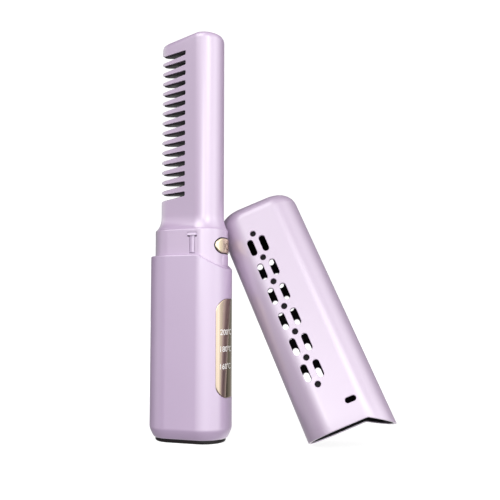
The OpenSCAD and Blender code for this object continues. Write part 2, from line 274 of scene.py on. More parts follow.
def rr_grid(w, h, r, rows=(10, 6, 10), cols=16):
    """Points over a rounded rectangle of half sizes w, h and corner radius r: rows of equal count."""
    r = min(r, w, h)
    ang = [math.pi / 2 * i / rows[0] for i in range(rows[0] + 1)]
    vs = [(-h + r - r * math.cos(a), w - r + r * math.sin(a)) for a in ang]
    if h - r > 1e-6:
        vs += [(-(h - r) + 2 * (h - r) * i / rows[1], w) for i in range(1, rows[1])]
        vs += [(h - r + r * math.sin(a), w - r + r * math.cos(a)) for a in ang]
    else:
        vs += [(r * math.sin(a), w - r + r * math.cos(a)) for a in ang[1:]]
    g = np.zeros((len(vs), cols + 1, 2))
    for i, (v, half) in enumerate(vs):
        g[i, :, 0] = np.linspace(-half, half, cols + 1)
        g[i, :, 1] = v
    return g


def rr_solid(name, w, h, r, levels, place, rows=(10, 6, 10), cols=16):
    """Closed solid over a rounded rectangle. levels: (outline offset, depth), from the outer face to the inner one. place(u, v, d) gives a point."""
    grids = [rr_grid(w + e, h + e, max(r + e, 1e-3), rows, cols) for e, d in levels]
    nr, nc = grids[0].shape[:2]
    rim = [(0, j) for j in range(nc)] + [(i, nc - 1) for i in range(1, nr)] \
        + [(nr - 1, j) for j in range(nc - 2, -1, -1)] + [(i, 0) for i in range(nr - 2, 0, -1)]
    verts, faces = [], []

    def add_grid(k):
        base = len(verts)
        g, d = grids[k], levels[k][1]
        for i in range(nr):
            for j in range(nc):
                verts.append(place(g[i, j, 0], g[i, j, 1], d))
        for i in range(nr - 1):
            for j in range(nc - 1):
                faces.append((base + i * nc + j, base + i * nc + j + 1, base + (i + 1) * nc + j + 1, base + (i + 1) * nc + j))
        return [base + i * nc + j for i, j in rim]

    last = add_grid(0)
    for k in range(1, len(levels)):
        if k == len(levels) - 1:
            now = add_grid(k)
        else:
            now = []
            for i, j in rim:
                now.append(len(verts))
                verts.append(place(grids[k][i, j, 0], grids[k][i, j, 1], levels[k][1]))
        m = len(rim)
        for a in range(m):
            b = (a + 1) % m
            faces.append((last[a], last[b], now[b], now[a]))
        last = now
    return raw(name, verts, faces)


def rr_ring(name, w, h, r, loop, place, rows=(10, 6, 10), cols=16):
    """Closed ring that follows a rounded rectangle; loop is its section as (outline offset, depth)."""
    rings = []
    for e, d in loop:
        g = rr_grid(w + e, h + e, max(r + e, 1e-3), rows, cols)
        nr, nc = g.shape[:2]
        rim = [(0, j) for j in range(nc)] + [(i, nc - 1) for i in range(1, nr)] \
            + [(nr - 1, j) for j in range(nc - 2, -1, -1)] + [(i, 0) for i in range(nr - 2, 0, -1)]
        rings.append([place(g[i, j, 0], g[i, j, 1], d) for i, j in rim])
    return sweep(name, rings, loop_rows=True)


def end_place(radius, z0):
    """(y, height, depth) on the round +X end, walls parallel to X."""
    def f(u, v, d):
        rr = radius - d
        return (HC + math.sqrt(max(rr * rr - u * u, 0.0)), u, z0 + v)
    return f


def fillet(f, steps=4, start=0.3):
    """A mouth that opens by f at the surface: (offset, depth), outermost first."""
    out = [(f * 1.02, -0.8)]
    for i in range(steps + 1):
        t = start + (math.pi / 2 - start) * i / steps
        out.append((f * (1 - math.sin(t)), f * (1 - math.cos(t))))
    return out


def outline_normals(p):
    """Outward normals of a closed outline given counter-clockwise."""
    a, b = np.roll(p, 1, 0), np.roll(p, -1, 0)
    d1, d2 = p - a, b - p
    n1 = np.c_[d1[:, 1], -d1[:, 0]] / np.linalg.norm(d1, axis=1)[:, None]
    n2 = np.c_[d2[:, 1], -d2[:, 0]] / np.linalg.norm(d2, axis=1)[:, None]
    n = n1 + n2
    n /= np.linalg.norm(n, axis=1)[:, None]
    s = 1.0 / np.maximum((n * n1).sum(1), 0.5)
    return n * s[:, None]


def pill_outline(w, h, n=16):
    """Round-ended outline, w by h (w along the first axis), counter-clockwise."""
    r = min(w, h) / 2
    pts = []
    if w >= h:
        for cx, a0 in ((w / 2 - r, -90), (-(w / 2 - r), 90)):
            for i in range(n + 1):
                t = math.radians(a0 + 180 * i / n)
                pts.append((cx + r * math.cos(t), r * math.sin(t)))
    else:
        for cy, a0 in ((h / 2 - r, 0), (-(h / 2 - r), 180)):
            for i in range(n + 1):
                t = math.radians(a0 + 180 * i / n)
                pts.append((r * math.cos(t), cy + r * math.sin(t)))
    pts = np.array(pts)
    keep = np.linalg.norm(pts - np.roll(pts, 1, 0), axis=1) > 1e-4
    return pts[keep]


def through_y(name, outline, surf, f=0.25, back=True, inner=-4.0):
    """Cutter along Y with rounded mouths where it meets the surface y = -surf(x) and, with back, y = surf(x)."""
    p = np.asarray(outline, float)
    n = outline_normals(p)
    rings = []
    for e, d in fillet(f):
        q = p + n * e
        rings.append(np.c_[q[:, 0], -(surf(q[:, 0]) - d), q[:, 1]])
    if back:
        for e, d in fillet(f)[::-1]:
            q = p + n * e
            rings.append(np.c_[q[:, 0], surf(q[:, 0]) - d, q[:, 1]])
    else:
        rings.append(np.c_[p[:, 0], np.full(len(p), inner), p[:, 1]])
    return sweep(name, rings, cap_first=True, cap_last=True)


def box_tool(name, x0, x1, y0, y1, z0, z1):
    v = [(x, y, z) for x in (x0, x1) for y in (y0, y1) for z in (z0, z1)]
    f = [(0, 1, 3, 2), (4, 6, 7, 5), (0, 4, 5, 1), (2, 3, 7, 6), (0, 2, 6, 4), (1, 5, 7, 3)]
    return raw(name, v, f)


def rod(name, p, q, r, n=24):
    """Cylindrical cutter between two points."""
    p, q = Vector(p), Vector(q)
    d = (q - p).normalized()
    a = d.orthogonal().normalized()
    b = d.cross(a)
    rings = []
    for c in (p, q):
        rings.append([c + r * (math.cos(2 * math.pi * i / n) * a + math.sin(2 * math.pi * i / n) * b) for i in range(n)])
    return sweep(name, [np.array([tuple(v) for v in r_]) for r_ in rings], cap_first=True, cap_last=True)


# ------------------------------------------------------------------ materials
def mat(name, base, rough, metal=0.0, spec=0.5, ior=1.5, coat=0.0, coat_rough=0.1, bump=0.05, grain=2500.0, vary=0.04, rough_vary=0.06, wear=0.0, wear_colour=None, sheen=0.0, wave=None):
    m = bpy.data.materials.new(name)
    m.use_nodes = True
    nt = m.node_tree
    N, L = nt.nodes, nt.links
    b = N["Principled BSDF"]
    b.inputs["Metallic"].default_value = metal
    b.inputs["Specular IOR Level"].default_value = spec
    b.inputs["IOR"].default_value = ior
    b.inputs["Coat Weight"].default_value = coat
    b.inputs["Coat Roughness"].default_value = coat_rough
    tc = N.new("ShaderNodeTexCoord")
    # slow change of tone over the moulding
    big = N.new("ShaderNodeTexNoise")
    big.inputs["Scale"].default_value = 45.0
    big.inputs["Detail"].default_value = 3.0
    L.new(tc.outputs["Object"], big.inputs["Vector"])
    fine = N.new("ShaderNodeTexNoise")
    fine.inputs["Scale"].default_value = grain
    fine.inputs["Detail"].default_value = 2.0
    fine.inputs["Roughness"].default_value = 0.6
    L.new(tc.outputs["Object"], fine.inputs["Vector"])
    ramp_ = N.new("ShaderNodeMapRange")
    ramp_.inputs["From Min"].default_value = 0.3
    ramp_.inputs["From Max"].default_value = 0.7
    ramp_.inputs["To Min"].default_value = 1.0 - vary
    ramp_.inputs["To Max"].default_value = 1.0 + vary
    L.new(big.outputs["Fac"], ramp_.inputs["Value"])
    mul = N.new("ShaderNodeMix")
    mul.data_type = "RGBA"
    mul.blend_type = "MULTIPLY"
    mul.inputs["Factor"].default_value = 1.0
    mul.inputs[6].default_value = (*base, 1.0)
    comb = N.new("ShaderNodeCombineColor")
    for i in range(3):
        L.new(ramp_.outputs["Result"], comb.inputs[i])
    L.new(comb.outputs["Color"], mul.inputs[7])
    colour = mul.outputs[2]
    if wear:
        geo = N.new("ShaderNodeNewGeometry")
        edge = N.new("ShaderNodeMapRange")
        edge.inputs["From Min"].default_value = 0.53
        edge.inputs["From Max"].default_value = 0.62
        edge.inputs["To Min"].default_value = 0.0
        edge.inputs["To Max"].default_value = wear
        L.new(geo.outputs["Pointiness"], edge.inputs["Value"])
        worn = N.new("ShaderNodeMix")
        worn.data_type = "RGBA"
        worn.inputs[7].default_value = (*(wear_colour or base), 1.0)
        L.new(edge.outputs["Result"], worn.inputs["Factor"])
        L.new(colour, worn.inputs[6])
        colour = worn.outputs[2]
    L.new(colour, b.inputs["Base Color"])
    if rough_vary:
        rr = N.new("ShaderNodeMapRange")
        rr.inputs["From Min"].default_value = 0.25
        rr.inputs["From Max"].default_value = 0.75
        rr.inputs["To Min"].default_value = max(0.02, rough - rough_vary)
        rr.inputs["To Max"].default_value = min(1.0, rough + rough_vary)
        mid = N.new("ShaderNodeTexNoise")
        mid.inputs["Scale"].default_value = 220.0
        mid.inputs["Detail"].default_value = 4.0
        L.new(tc.outputs["Object"], mid.inputs["Vector"])
        L.new(mid.outputs["Fac"], rr.inputs["Value"])
        L.new(rr.outputs["Result"], b.inputs["Roughness"])
    else:
        b.inputs["Roughness"].default_value = rough
    if bump:
        bp = N.new("ShaderNodeBump")
        bp.inputs["Strength"].default_value = bump
        bp.inputs["Distance"].default_value = 0.0002
        L.new(fine.outputs["Fac"], bp.inputs["Height"])
        L.new(bp.outputs["Normal"], b.inputs["Normal"])
    return m


def put(ob, m):
    ob.data.materials.clear()
    ob.data.materials.append(m)
    return ob


def lilac(name, base, tip_highlight=0.0):
    m = mat(name, base, 0.30, spec=1.0, ior=1.9, bump=0.035, grain=2600.0, vary=0.012, rough_vary=0.0, wear=0.35, wear_colour=(0.66, 0.55, 0.70))
    if tip_highlight:
        # painted highlight: the ends of the teeth are painted a paler grey, standing in for the light they catch
        nt = m.node_tree
        N, L = nt.nodes, nt.links
        b = N["Principled BSDF"]
        tc = N.new("ShaderNodeTexCoord")
        sx = N.new("ShaderNodeSeparateXYZ")
        L.new(tc.outputs["Object"], sx.inputs[0])
        mr = N.new("ShaderNodeMapRange")
        for key, v in (("From Min", -0.0128), ("From Max", -0.0160), ("To Min", 0.0), ("To Max", tip_highlight)):
            mr.inputs[key].default_value = v
        L.new(sx.outputs["X"], mr.inputs["Value"])
        mx = N.new("ShaderNodeMix")
        mx.data_type = "RGBA"
        mx.inputs[7].default_value = (0.64, 0.60, 0.66, 1.0)
        L.new(mr.outputs["Result"], mx.inputs["Factor"])
        L.new(b.inputs["Base Color"].links[0].from_socket, mx.inputs[6])
        L.new(mx.outputs[2], b.inputs["Base Color"])
    return m


LILAC = lilac("lilac_shell", (0.514, 0.388, 0.566))
# painted light: the head and the cap are copies of the one lilac plastic, the head's painted a little lighter and the
# cap's painted a little darker and less blue, standing in for the light each part gets
LILAC_HEAD_PAINTED_LIGHTER = lilac("lilac_head_painted_lighter", (0.530, 0.402, 0.572), 0.6)
LILAC_CAP_PAINTED_DARKER = lilac("lilac_cap_painted_darker", (0.486, 0.382, 0.516))
BLACK = mat("black_plastic", (0.012, 0.009, 0.010), 0.40, spec=0.3, bump=0.12, grain=2200.0, rough_vary=0.08, wear=0.25, wear_colour=(0.06, 0.05, 0.055))
CORE = mat("black_comb", (0.007, 0.005, 0.007), 0.45, spec=0.2, bump=0.2, grain=1800.0, rough_vary=0.10, wear=0.2, wear_colour=(0.07, 0.06, 0.07))
LINER = mat("liner_black", (0.006, 0.005, 0.007), 0.55, spec=0.12, bump=0.15, grain=1600.0, rough_vary=0.08, wear=0.3, wear_colour=(0.09, 0.08, 0.09))
GOLD_B = mat("gold_button", (0.80, 0.67, 0.49), 0.22, metal=1.0, bump=0.06, grain=1500.0, rough_vary=0.05, vary=0.03, wear=0.4, wear_colour=(0.92, 0.84, 0.70))
STEEL = mat("screw_steel", (0.56, 0.56, 0.58), 0.3, metal=1.0, bump=0.1, grain=1500.0, rough_vary=0.1)
WHITE_INK = mat("white_numerals", (0.86, 0.84, 0.82), 0.5, bump=0.05, rough_vary=0.05)
DARK_INK = mat("dark_mark", (0.10, 0.06, 0.035), 0.4, bump=0.05, rough_vary=0.05)


def gold_window():
    m = mat("gold_mirror", (0.55, 0.448, 0.346), 0.08, metal=1.0, spec=0.5, coat=0.25, coat_rough=0.04, bump=0.015, grain=700.0, vary=0.02, rough_vary=0.025)
    return m


GOLD_W = gold_window()

# ------------------------------------------------------------------ handle sleeve
COLS = stadium_cols(HC, 60, 1)


def handle_sleeve():
    R = []
    add = lambda o, z: R.append(stadium_ring(COLS, HB - o, z))
    # the lower edge: a soft taper that ends in a small round
    foot = [(2.72, 1.9), (2.56, 1.92), (2.34, 1.98), (2.05, 2.2), (1.76, 2.6), (1.42, 3.2), (0.93, 4.2), (0.5, 5.2), (0.15, 6.2), (0.03, 6.7), (0.0, 7.2)]
    for o, z in foot:
        add(o, z)
    add(0.0, 15.0)
    add(0.0, 78.0)
    f = 0.5
    for i in range(5):
        t = math.pi / 2 * i / 4
        o = f * (1 - math.cos(t))
        add(o, (lambda dz: lambda x: shoulder(x) - dz)(f * (1 - math.sin(t))))
    add(1.8, shoulder)
    add(1.95, lambda x: shoulder(x) - 0.15)
    add(2.0, lambda x: shoulder(x) - 0.4)
    add(2.0, 80.0)
    add(3.2, 80.0)
    add(3.2, 78.0)
    add(2.0, 78.0)
    add(2.0, 3.6)
    add(3.7, 3.6)
    add(3.7, 2.0)
    add(3.6, 1.9)
    ob = sweep("handle_sleeve_fine", R, loop_rows=True)
    # recess for the display window, and the opening behind it
    lv = fillet(0.22)
    lv = [(e + 0.13, d) for e, d in lv] + [(0.13, 0.9), (0.13, 1.2)]
    cut(ob, rr_solid("t", 9.1, 23.5, 6.0, lv, end_place(HB, 45.0), rows=(12, 8, 12), cols=24))
    cut(ob, rr_solid("t", 6.0, 18.0, 3.0, [(0, 0.6), (0, 3.5)], end_place(HB, 45.0), rows=(6, 4, 6), cols=12))

    def nrm(p):
        q = p.copy()
        dx = np.sign(p[:, 0]) * np.maximum(np.abs(p[:, 0]) - HC, 0)
        d = np.hypot(dx, p[:, 1])
        on = (np.abs(d - HB) < 0.02) & (p[:, 2] > 7.19) & (p[:, 2] < shoulder(p[:, 0]) - 0.49)
        return np.c_[dx / np.maximum(d, 1e-6), p[:, 1] / np.maximum(d, 1e-6), np.zeros(len(p))], on

    tidy(ob, 32.0, nrm)
    put(ob, LILAC)
    return done(ob, "comb", ["handle_sleeve"])


handle_sleeve()

# ------------------------------------------------------------------ base
def base_cover():
    R = []
    add = lambda b, z: R.append(stadium_ring(COLS, b, z))
    top = 10.3
    add(7.9, 2.9)
    add(9.25, 2.9)
    add(9.4, 2.8)
    add(9.4, 1.87)
    add(top - 0.08, 1.87)
    add(top, 1.8)
    add(top, 1.0)
    for i in range(1, 9):
        t = math.pi / 2 * i / 8
        add(top - 0.9 * (1 - math.cos(t)), 0.9 - 0.9 * math.sin(t))
    add(7.0, 0.0)
    # a slightly hollow foot in the middle
    add(6.7, 0.12)
    add(6.4, 0.15)
    ob = sweep("base_cover_fine", R[::-1], cap_first=True, cap_last=True)
    cut(ob, sweep("t", [np.c_[np.array([[7.45 + y, x] for x, y in pill_outline(9.9 + 2 * e, 4.1 + 2 * e, 14)]), np.full(30, z)] for e, z in ((0.3, -0.5), (0.3, 0.15), (0.1, 0.25), (0, 0.5), (0, 6))], cap_first=True, cap_last=True))
    for x in (-12.6, 12.6):
        cut(ob, rod("t", (x, 0, -1), (x, 0, 1.0), 2.1, 40))
        cut(ob, rod("t", (x, 0, 0.5), (x, 0, 6), 1.1, 32))
    tidy(ob, 35.0)
    put(ob, BLACK)
    return done(ob, "comb", ["base_cover"])


base_cover()

# ------------------------------------------------------------------ head
def section(z):
    """The head in plan at height z: two circles (x1, r1, x2, r2) whose hull is the outline."""
    z0, z1 = 101.9, 110.2
    u = np.clip((z - z0) / (z1 - z0), 0, 1)
    s = 1 - (1 - u) ** 2.6
    # rounded start of the flare
    k = 0.9
    s = s * np.clip((z - z0) / k, 0, 1) ** 0.8 if z < z0 + k else s
    return (7.4 + (SX - 7.4) * s, NB + (SR - NB) * s, -7.4 + (TX + 7.4) * s, NB + (TR - NB) * s)


N1, N2, N3 = 64, 1, 20


def head_ring(sec, z):
    x1, r1, x2, r2 = sec
    r1, r2 = max(r1, 0.0), max(r2, 0.0)
    al = math.asin(max(-1, min(1, (r1 - r2) / max(x1 - x2, 1e-9))))
    a = math.pi / 2 + al
    pts = []
    for i in range(N1 + 1):
        t = -a + 2 * a * i / N1
        pts.append((x1 + r1 * math.cos(t), r1 * math.sin(t)))
    for i in range(N3 + 1):
        t = a + (2 * math.pi - 2 * a) * i / N3
        pts.append((x2 + r2 * math.cos(t), r2 * math.sin(t)))
    p = np.array(pts)
    zz = z(p[:, 0]) if callable(z) else np.full(len(p), float(z))
    return np.c_[p, zz]


def crown(x):
    return HEAD_TOP - 0.04 * np.maximum(0, 1.37 - x) - 0.449 * (x - 1.37) ** 2 / 100


def hy(x, o=0.0):
    return (SR - SA * SX - o + SA * np.asarray(x, float)) / CA


def slot_outline():
    """One gap between two teeth, in X and Z from its nominal height, counter-clockwise."""
    pts = []
    # the lower side, from a rounded tooth end to the root
    for i in range(7):
        t = math.pi / 2 * i / 6
        pts.append((-16.75 + 1.15 * math.sin(t), -3.93 - 0.75 * (1 - math.sin(t))))
    pts += [(-13.5, -3.68), (-11.0, -3.42), (-8.5, -3.17), (-5.0, -2.80), (-2.4, -2.50)]
    # the root, rounded
    for a0, a1, cx, cz, r in ((-78, 0, -1.92, -1.82, 0.68), (0, 92, -1.88, -0.9, 0.64)):
        for i in range(6):
            t = math.radians(a0 + (a1 - a0) * i / 5)
            pts.append((cx + r * math.cos(t), cz + r * math.sin(t)))
    pts += [(-4.0, -0.31), (-7.0, -0.36), (-10.0, -0.41), (-13.5, -0.45)]
    # the upper side, out at the rounded end of the tooth above
    for i in range(7):
        t = math.pi / 2 * (1 - i / 6)
        pts.append((-16.75 + 1.15 * math.sin(t), -0.47 + 0.7 * (1 - math.sin(t))))
    pts += [(-18.5, 0.23), (-18.5, -4.68)]
    return np.array(pts)


def head_shells():
    R = []
    for z in (80.0, 81.0, 100.6, 101.5, 101.9):
        R.append(head_ring(section(z), z))
    for z in np.r_[np.linspace(102.0, 103.0, 6), np.linspace(103.4, 110.2, 16)]:
        R.append(head_ring(section(float(z)), float(z)))
    full = (SX, SR, TX, TR)
    # a row through every tooth keeps the faces small
    for i in range(SLOTS, 0, -1):
        R.append(head_ring(full, SLOT_Z - PITCH * i + 0.33))
    R.append(head_ring(full, SLOT_Z + 0.6))
    rh, rv = 2.75, 3.4

    def top_ring(o, dz):
        r1 = SR - o
        if o < TR:
            sec = (SX, r1, TX, TR - o)
        else:
            sec = (SX, r1, SX - r1 / SA, 0.0)
        return head_ring(sec, lambda x: crown(x) - dz)

    R.append(top_ring(0.0, rv + 0.02))
    for i in range(1, 13):
        a = math.pi / 2 * i / 12
        R.append(top_ring(rh * (1 - math.cos(a)), rv * (1 - math.sin(a))))
    for o in (3.6, 4.8, 6.2, 7.6, 8.5, 8.85):
        R.append(top_ring(o, 0.0))
    ob = sweep("head_full", R, cap_first=True)
    # hollow inside
    cut(ob, sweep("t", [stadium_ring(stadium_cols(HC, 40, 1), NB - 1.6, z) for z in (79.0, 101.0)], cap_first=True, cap_last=True))
    cut(ob, rod("t", (SX, 0, 100.0), (SX, 0, 111.0), 5.8, 48))
    w = [head_ring((SX, SR - 1.5, TX, 0.05), z) for z in (109.6, 198.0)]
    wedge = sweep("t", w, cap_first=True, cap_last=True)
    cut(wedge, box_tool("t2", -0.3, 40, -30, 30, 90, 230), op="INTERSECT")
    cut(ob, wedge)
    c = 0.05
    c2 = [(-15.2, hy(-15.2, 0.6) + c), (-1.3 + c, hy(-1.3, 0.6) + c), (-1.3 + c, 4.6 + c), (3.1, 4.6 + c)]
    c2 = [(float(a), float(b)) for a, b in c2]
    c2 = c2 + [(a, -b) for a, b in c2[::-1]]
    cut(ob, sweep("t", [np.array([(a, b, z) for a, b in c2]) for z in (111.9, 197.1)], cap_first=True, cap_last=True))
    # pad below the button
    pad = rr_solid("t", 3.5, 2.45, 0.4, [(-0.35, -0.15), (-0.15, -0.12), (-0.03, -0.04), (0.0, 0.05), (0.0, 0.6)], end_place(NB, 87.05), rows=(4, 3, 4), cols=8)
    cut(ob, pad, op="UNION")
    # gaps between the teeth
    out = slot_outline()
    tools = [through_y("t", out + [0, SLOT_Z - PITCH * i], lambda x: np.maximum(hy(x), 0.5), f=0.22) for i in range(SLOTS)]
    # two passes, because the mouths of neighbours overlap
    cut(ob, join("t", tools[0::2]))
    cut(ob, join("t", tools[1::2]))
    # button hole and catch window
    lv = [(e + 0.42, d) for e, d in fillet(0.15)] + [(0.42, 3.5)]
    cut(ob, rr_solid("t", 7.4, 3.6, 3.6, lv, end_place(NB, BTN_Z), rows=(10, 4, 10), cols=18))
    p = []
    x0, x1, z0, z1, zb = CATCH_X - 1.4, CATCH_X + 1.4, SHZ + 0.9, CATCH_Z - 1.25, CATCH_Z + 0.92
    p = np.array([(x0, z0), (x1, z0), (x1, z1), (CATCH_X + 2.52, z1), (CATCH_X + 2.52, zb), (CATCH_X - 2.52, zb), (CATCH_X - 2.52, z1), (x0, z1)])
    cut(ob, through_y("t", p, lambda x: np.full(len(x), NB), f=0.12, back=False, inner=-NB + 2.5))
    cut(ob, rod("t", (-6, NB - 2.2, 84.4), (-6, NB + 3, 84.4), 1.9, 32))
    cut(ob, rod("t", (6.5, NB - 2.2, 84.4), (6.5, NB + 3, 84.4), 1.9, 32))

    def nrm(q):
        out_n = np.zeros((len(q), 3))
        on = np.zeros(len(q), bool)

        def F(x, y, z):
            s = np.array([section(float(v)) for v in z])
            x1, r1, x2, r2 = s.T
            L = x1 - x2
            b = (r1 - r2) / L
            a = np.sqrt(1 - b * b)
            px, py = np.abs(y), x - x2
            k = px * (-b) + py * a if False else None
            # distance to the hull of two circles, along the axis from circle 2 to circle 1
            d1 = np.hypot(x - x1, y) - r1
            d2 = np.hypot(x - x2, y) - r2
            nx, ny = -b, a
            df = (x - x1) * nx + np.abs(y) * ny - r1
            t = (x - x1) * ny - np.abs(y) * nx  # place along the flat, 0 at circle 1's tangent point
            res = np.where(t > 0, d1, np.where(t < -L * a, d2, df))
            return res

        m = (q[:, 2] < 197.7)
        x, y, z = q[m].T
        e = 0.01
        f0 = F(x, y, z)
        g = np.c_[F(x + e, y, z) - F(x - e, y, z), F(x, y + e, z) - F(x, y - e, z), F(x, y, z + e) - F(x, y, z - e)] / (2 * e)
        g /= np.maximum(np.linalg.norm(g, axis=1), 1e-9)[:, None]
        out_n[m] = g
        on[m] = (np.abs(f0) < 0.03) & ((z < 101.2) | (z > 102.95))
        return out_n, on

    # two halves that meet on the middle plane
    halves = []
    for s, name in ((-1, "head_front_fine"), (1, "head_rear_fine")):
        h = bpy.data.objects.new(name, ob.data.copy())
        scene.collection.objects.link(h)
        cut(h, box_tool("t", -60, 60, *((-60, -0.02) if s < 0 else (0.02, 60)), 0, 260), op="INTERSECT")
        tidy(h, 32.0, nrm)
        # painted light: the head's lilac is painted a little lighter than the handle's
        put(h, LILAC_HEAD_PAINTED_LIGHTER)
        done(h, "comb", ["head_front_shell" if s < 0 else "head_rear_shell"])
        halves.append(h)
    drop(ob)
    return halves


head_shells()

# ------------------------------------------------------------------ catch
def cap_catch():
    zb = SHZ + 1.1
    R = []
    # tongue with a rounded face, bar and barb: outline in X and Z, by depth in Y
    w, b = 1.25, 2.4
    z1, z2 = CATCH_Z - 0.8, CATCH_Z + 0.8
    tongue = np.array([(CATCH_X - w, zb), (CATCH_X + w, zb), (CATCH_X + w, z1), (CATCH_X + b, z1 + 0.0), (CATCH_X + b, z2), (CATCH_X - b, z2), (CATCH_X - b, z1), (CATCH_X - w, z1)])
    ob = sweep("cap_catch_fine", [np.c_[tongue[:, 0], np.full(8, y), tongue[:, 1]] for y in (-NB, -NB + 1.1)], cap_first=True, cap_last=True)
    bevel(ob, 0.16, 2)
    # half-round rib down the tongue
    prof = []
    for i in range(9):
        t = math.pi * i / 8
        prof.append((CATCH_X - 0.85 * math.cos(t), -NB - 0.02 - 0.16 * math.sin(t)))
    prof += [(CATCH_X + 0.85, -NB + 0.5), (CATCH_X - 0.85, -NB + 0.5)]
    rib = sweep("t", [np.c_[np.array(prof), np.full(len(prof), z)] for z in (zb + 0.4, z1 + 0.4)], cap_first=True, cap_last=True)
    cut(ob, rib, op="UNION")
    pr = np.array([(-NB + 0.4, CATCH_Z - 0.78), (-NB - 0.52, CATCH_Z - 0.74), (-NB - 0.66, CATCH_Z - 0.6), (-NB - 0.68, CATCH_Z - 0.25), (-NB - 0.5, CATCH_Z + 0.05), (-NB + 0.0, CATCH_Z + 0.62), (-NB + 0.4, CATCH_Z + 0.7)])
    barb = sweep("t", [np.c_[np.full(len(pr), x), pr * [s, 1] + [(1 - s) * -NB * 0.96, 0]] for x, s in ((CATCH_X - 2.15, 0.985), (CATCH_X - 1.9, 1.0), (CATCH_X + 1.9, 1.0), (CATCH_X + 2.15, 0.985))], cap_first=True, cap_last=True)
    cut(ob, barb, op="UNION")
    tidy(ob, 40.0)
    put(ob, LILAC)
    return done(ob, "catch", ["cap_catch"])


cap_catch()

# ------------------------------------------------------------------ button and ring
def button():
    place = end_place(NB, BTN_Z)
    lv = [(-0.75, -0.45), (-0.38, -0.42), (-0.14, -0.33), (-0.02, -0.16), (0.0, 0.05), (0.0, 1.5), (0.3, 1.8), (0.35, 2.9)]
    ob = rr_solid("power_button_fine", 7.4, 3.6, 3.6, lv, place, rows=(12, 4, 12), cols=22)
    tidy(ob, 50.0)
    put(ob, GOLD_B)
    done(ob, "button", ["power_button"])
    # generic power mark: an open ring and a bar, laid in the face
    top = end_place(NB + 0.45, BTN_Z)
    rings = []
    n = 40
    for k in range(n + 1):
        t = math.radians(90 + 38 + (360 - 76) * k / n)
        c, s = math.cos(t), math.sin(t)
        sec = []
        for dr, d in ((-0.24, 0.12), (-0.24, -0.02), (-0.20, -0.045), (0.20, -0.045), (0.24, -0.02), (0.24, 0.12)):
            sec.append(top((1.75 + dr) * c, (1.75 + dr) * s - 0.1, d))
        rings.append(np.array(sec))
    arc = sweep("t", rings, cap_first=True, cap_last=True)
    bar = rr_solid("t", 0.24, 1.05, 0.1, [(-0.05, -0.045), (0, -0.02), (0, 0.12)], end_place(NB + 0.45, BTN_Z + 1.25), rows=(3, 2, 3), cols=4)
    mark = join("power_mark", [arc, bar])
    tidy(mark, 40.0)
    put(mark, DARK_INK)
    done(mark, "button")
    ring = rr_ring("button_ring_fine", 7.4, 3.6, 3.6, [(0.4, 0.12), (0.38, 0.0), (0.32, -0.05), (0.20, -0.05), (0.15, 0.0), (0.13, 0.1), (0.13, 1.3), (0.4, 1.3)], place, rows=(12, 4, 12), cols=22)
    tidy(ring, 50.0)
    put(ring, BLACK)
    done(ring, "comb", ["button_ring"])


button()

# ------------------------------------------------------------------ display window and numerals
def window():
    lv = [(-0.34, 0.0), (-0.20, 0.02), (-0.09, 0.08), (-0.02, 0.18), (0.0, 0.32), (0.0, 1.12)]
    ob = rr_solid("display_window_fine", 9.1, 23.5, 6.0, lv, end_place(HB, 45.0), rows=(14, 14, 14), cols=40)
    tidy(ob, 60.0)
    put(ob, GOLD_W)
    done(ob, "comb", ["display_window"])
    for k, (txt, y0, y1, z0, z1) in enumerate((("200°C", -7.5, 1.1, 51.3, 54.1), ("180°C", -7.4, 0.6, 43.3, 46.1), ("160°C", -7.4, 0.1, 35.1, 37.9))):
        cu = bpy.data.curves.new("num", "FONT")
        cu.body = txt
        cu.size = 1.0
        cu.extrude = 0.03
        cu.resolution_u = 6
        to = bpy.data.objects.new("num", cu)
        scene.collection.objects.link(to)
        dg = bpy.context.evaluated_depsgraph_get()
        dg.update()
        me = bpy.data.meshes.new_from_object(to.evaluated_get(dg))
        bpy.data.objects.remove(to)
        bpy.data.curves.remove(cu)
        co = np.array([v.co for v in me.vertices])
        lo, hi = co.min(0), co.max(0)
        bm = bmesh.new()
        bm.from_mesh(me)
        bmesh.ops.remove_doubles(bm, verts=bm.verts, dist=1e-5)
        for v in bm.verts:
            v.co.x = y0 + (v.co.x - lo[0]) / (hi[0] - lo[0]) * (y1 - y0)
            v.co.y = z0 + (v.co.y - lo[1]) / (hi[1] - lo[1]) * (z1 - z0)
            v.co.z = v.co.z / 0.03
        y = y0 + 0.4
        while y < y1:
            bmesh.ops.bisect_plane(bm, geom=bm.verts[:] + bm.edges[:] + bm.faces[:], plane_co=(y, 0, 0), plane_no=(1, 0, 0), dist=1e-5)
            y += 0.4
        for v in bm.verts:
            yy, zz, s = v.co.x, v.co.y, v.co.z
            rr = HB + (0.035 if s > 0 else -0.05)
            v.co = (HC + math.sqrt(rr * rr - yy * yy), yy, zz)
        bmesh.ops.recalc_face_normals(bm, faces=bm.faces)
        bm.to_mesh(me)
        bm.free()
        num = bpy.data.objects.new("numerals_%d" % (k + 1), me)
        scene.collection.objects.link(num)
        tidy(num, 40.0)
        put(num, WHITE_INK)
        done(num, "comb")


window()

# ------------------------------------------------------------------ cap
def cap_surface(x):
    return np.sqrt(np.maximum(HB * HB - np.maximum(np.abs(x) - HC, 0) ** 2, 0.0))


def vents(f, grow, dots):
    tools = []
    for k in range(6):
        for s in (-1, 1):
            o = pill_outline(3.1 + 2 * grow, 8.56 + 2 * grow, 14) + [VENT_X + s * VENT_DX, VENT_Z0 + (k + 0.5) * VENT_P]
            tools.append(through_y("t", o, cap_surface, f=f))
    if dots:
        for k in range(7):
            o = pill_outline(2.9 + 2 * grow, 2.9 + 2 * grow, 14) + [VENT_X, VENT_Z0 + k * VENT_P]
            tools.append(through_y("t", o, cap_surface, f=f))
    o = pill_outline(5.3 + 2 * grow, 2.6 + 2 * grow, 14) + [CATCH_X, CATCH_Z - SHZ]
    tools.append(through_y("t", o, cap_surface, f=f, back=False))
    return join("t", tools)


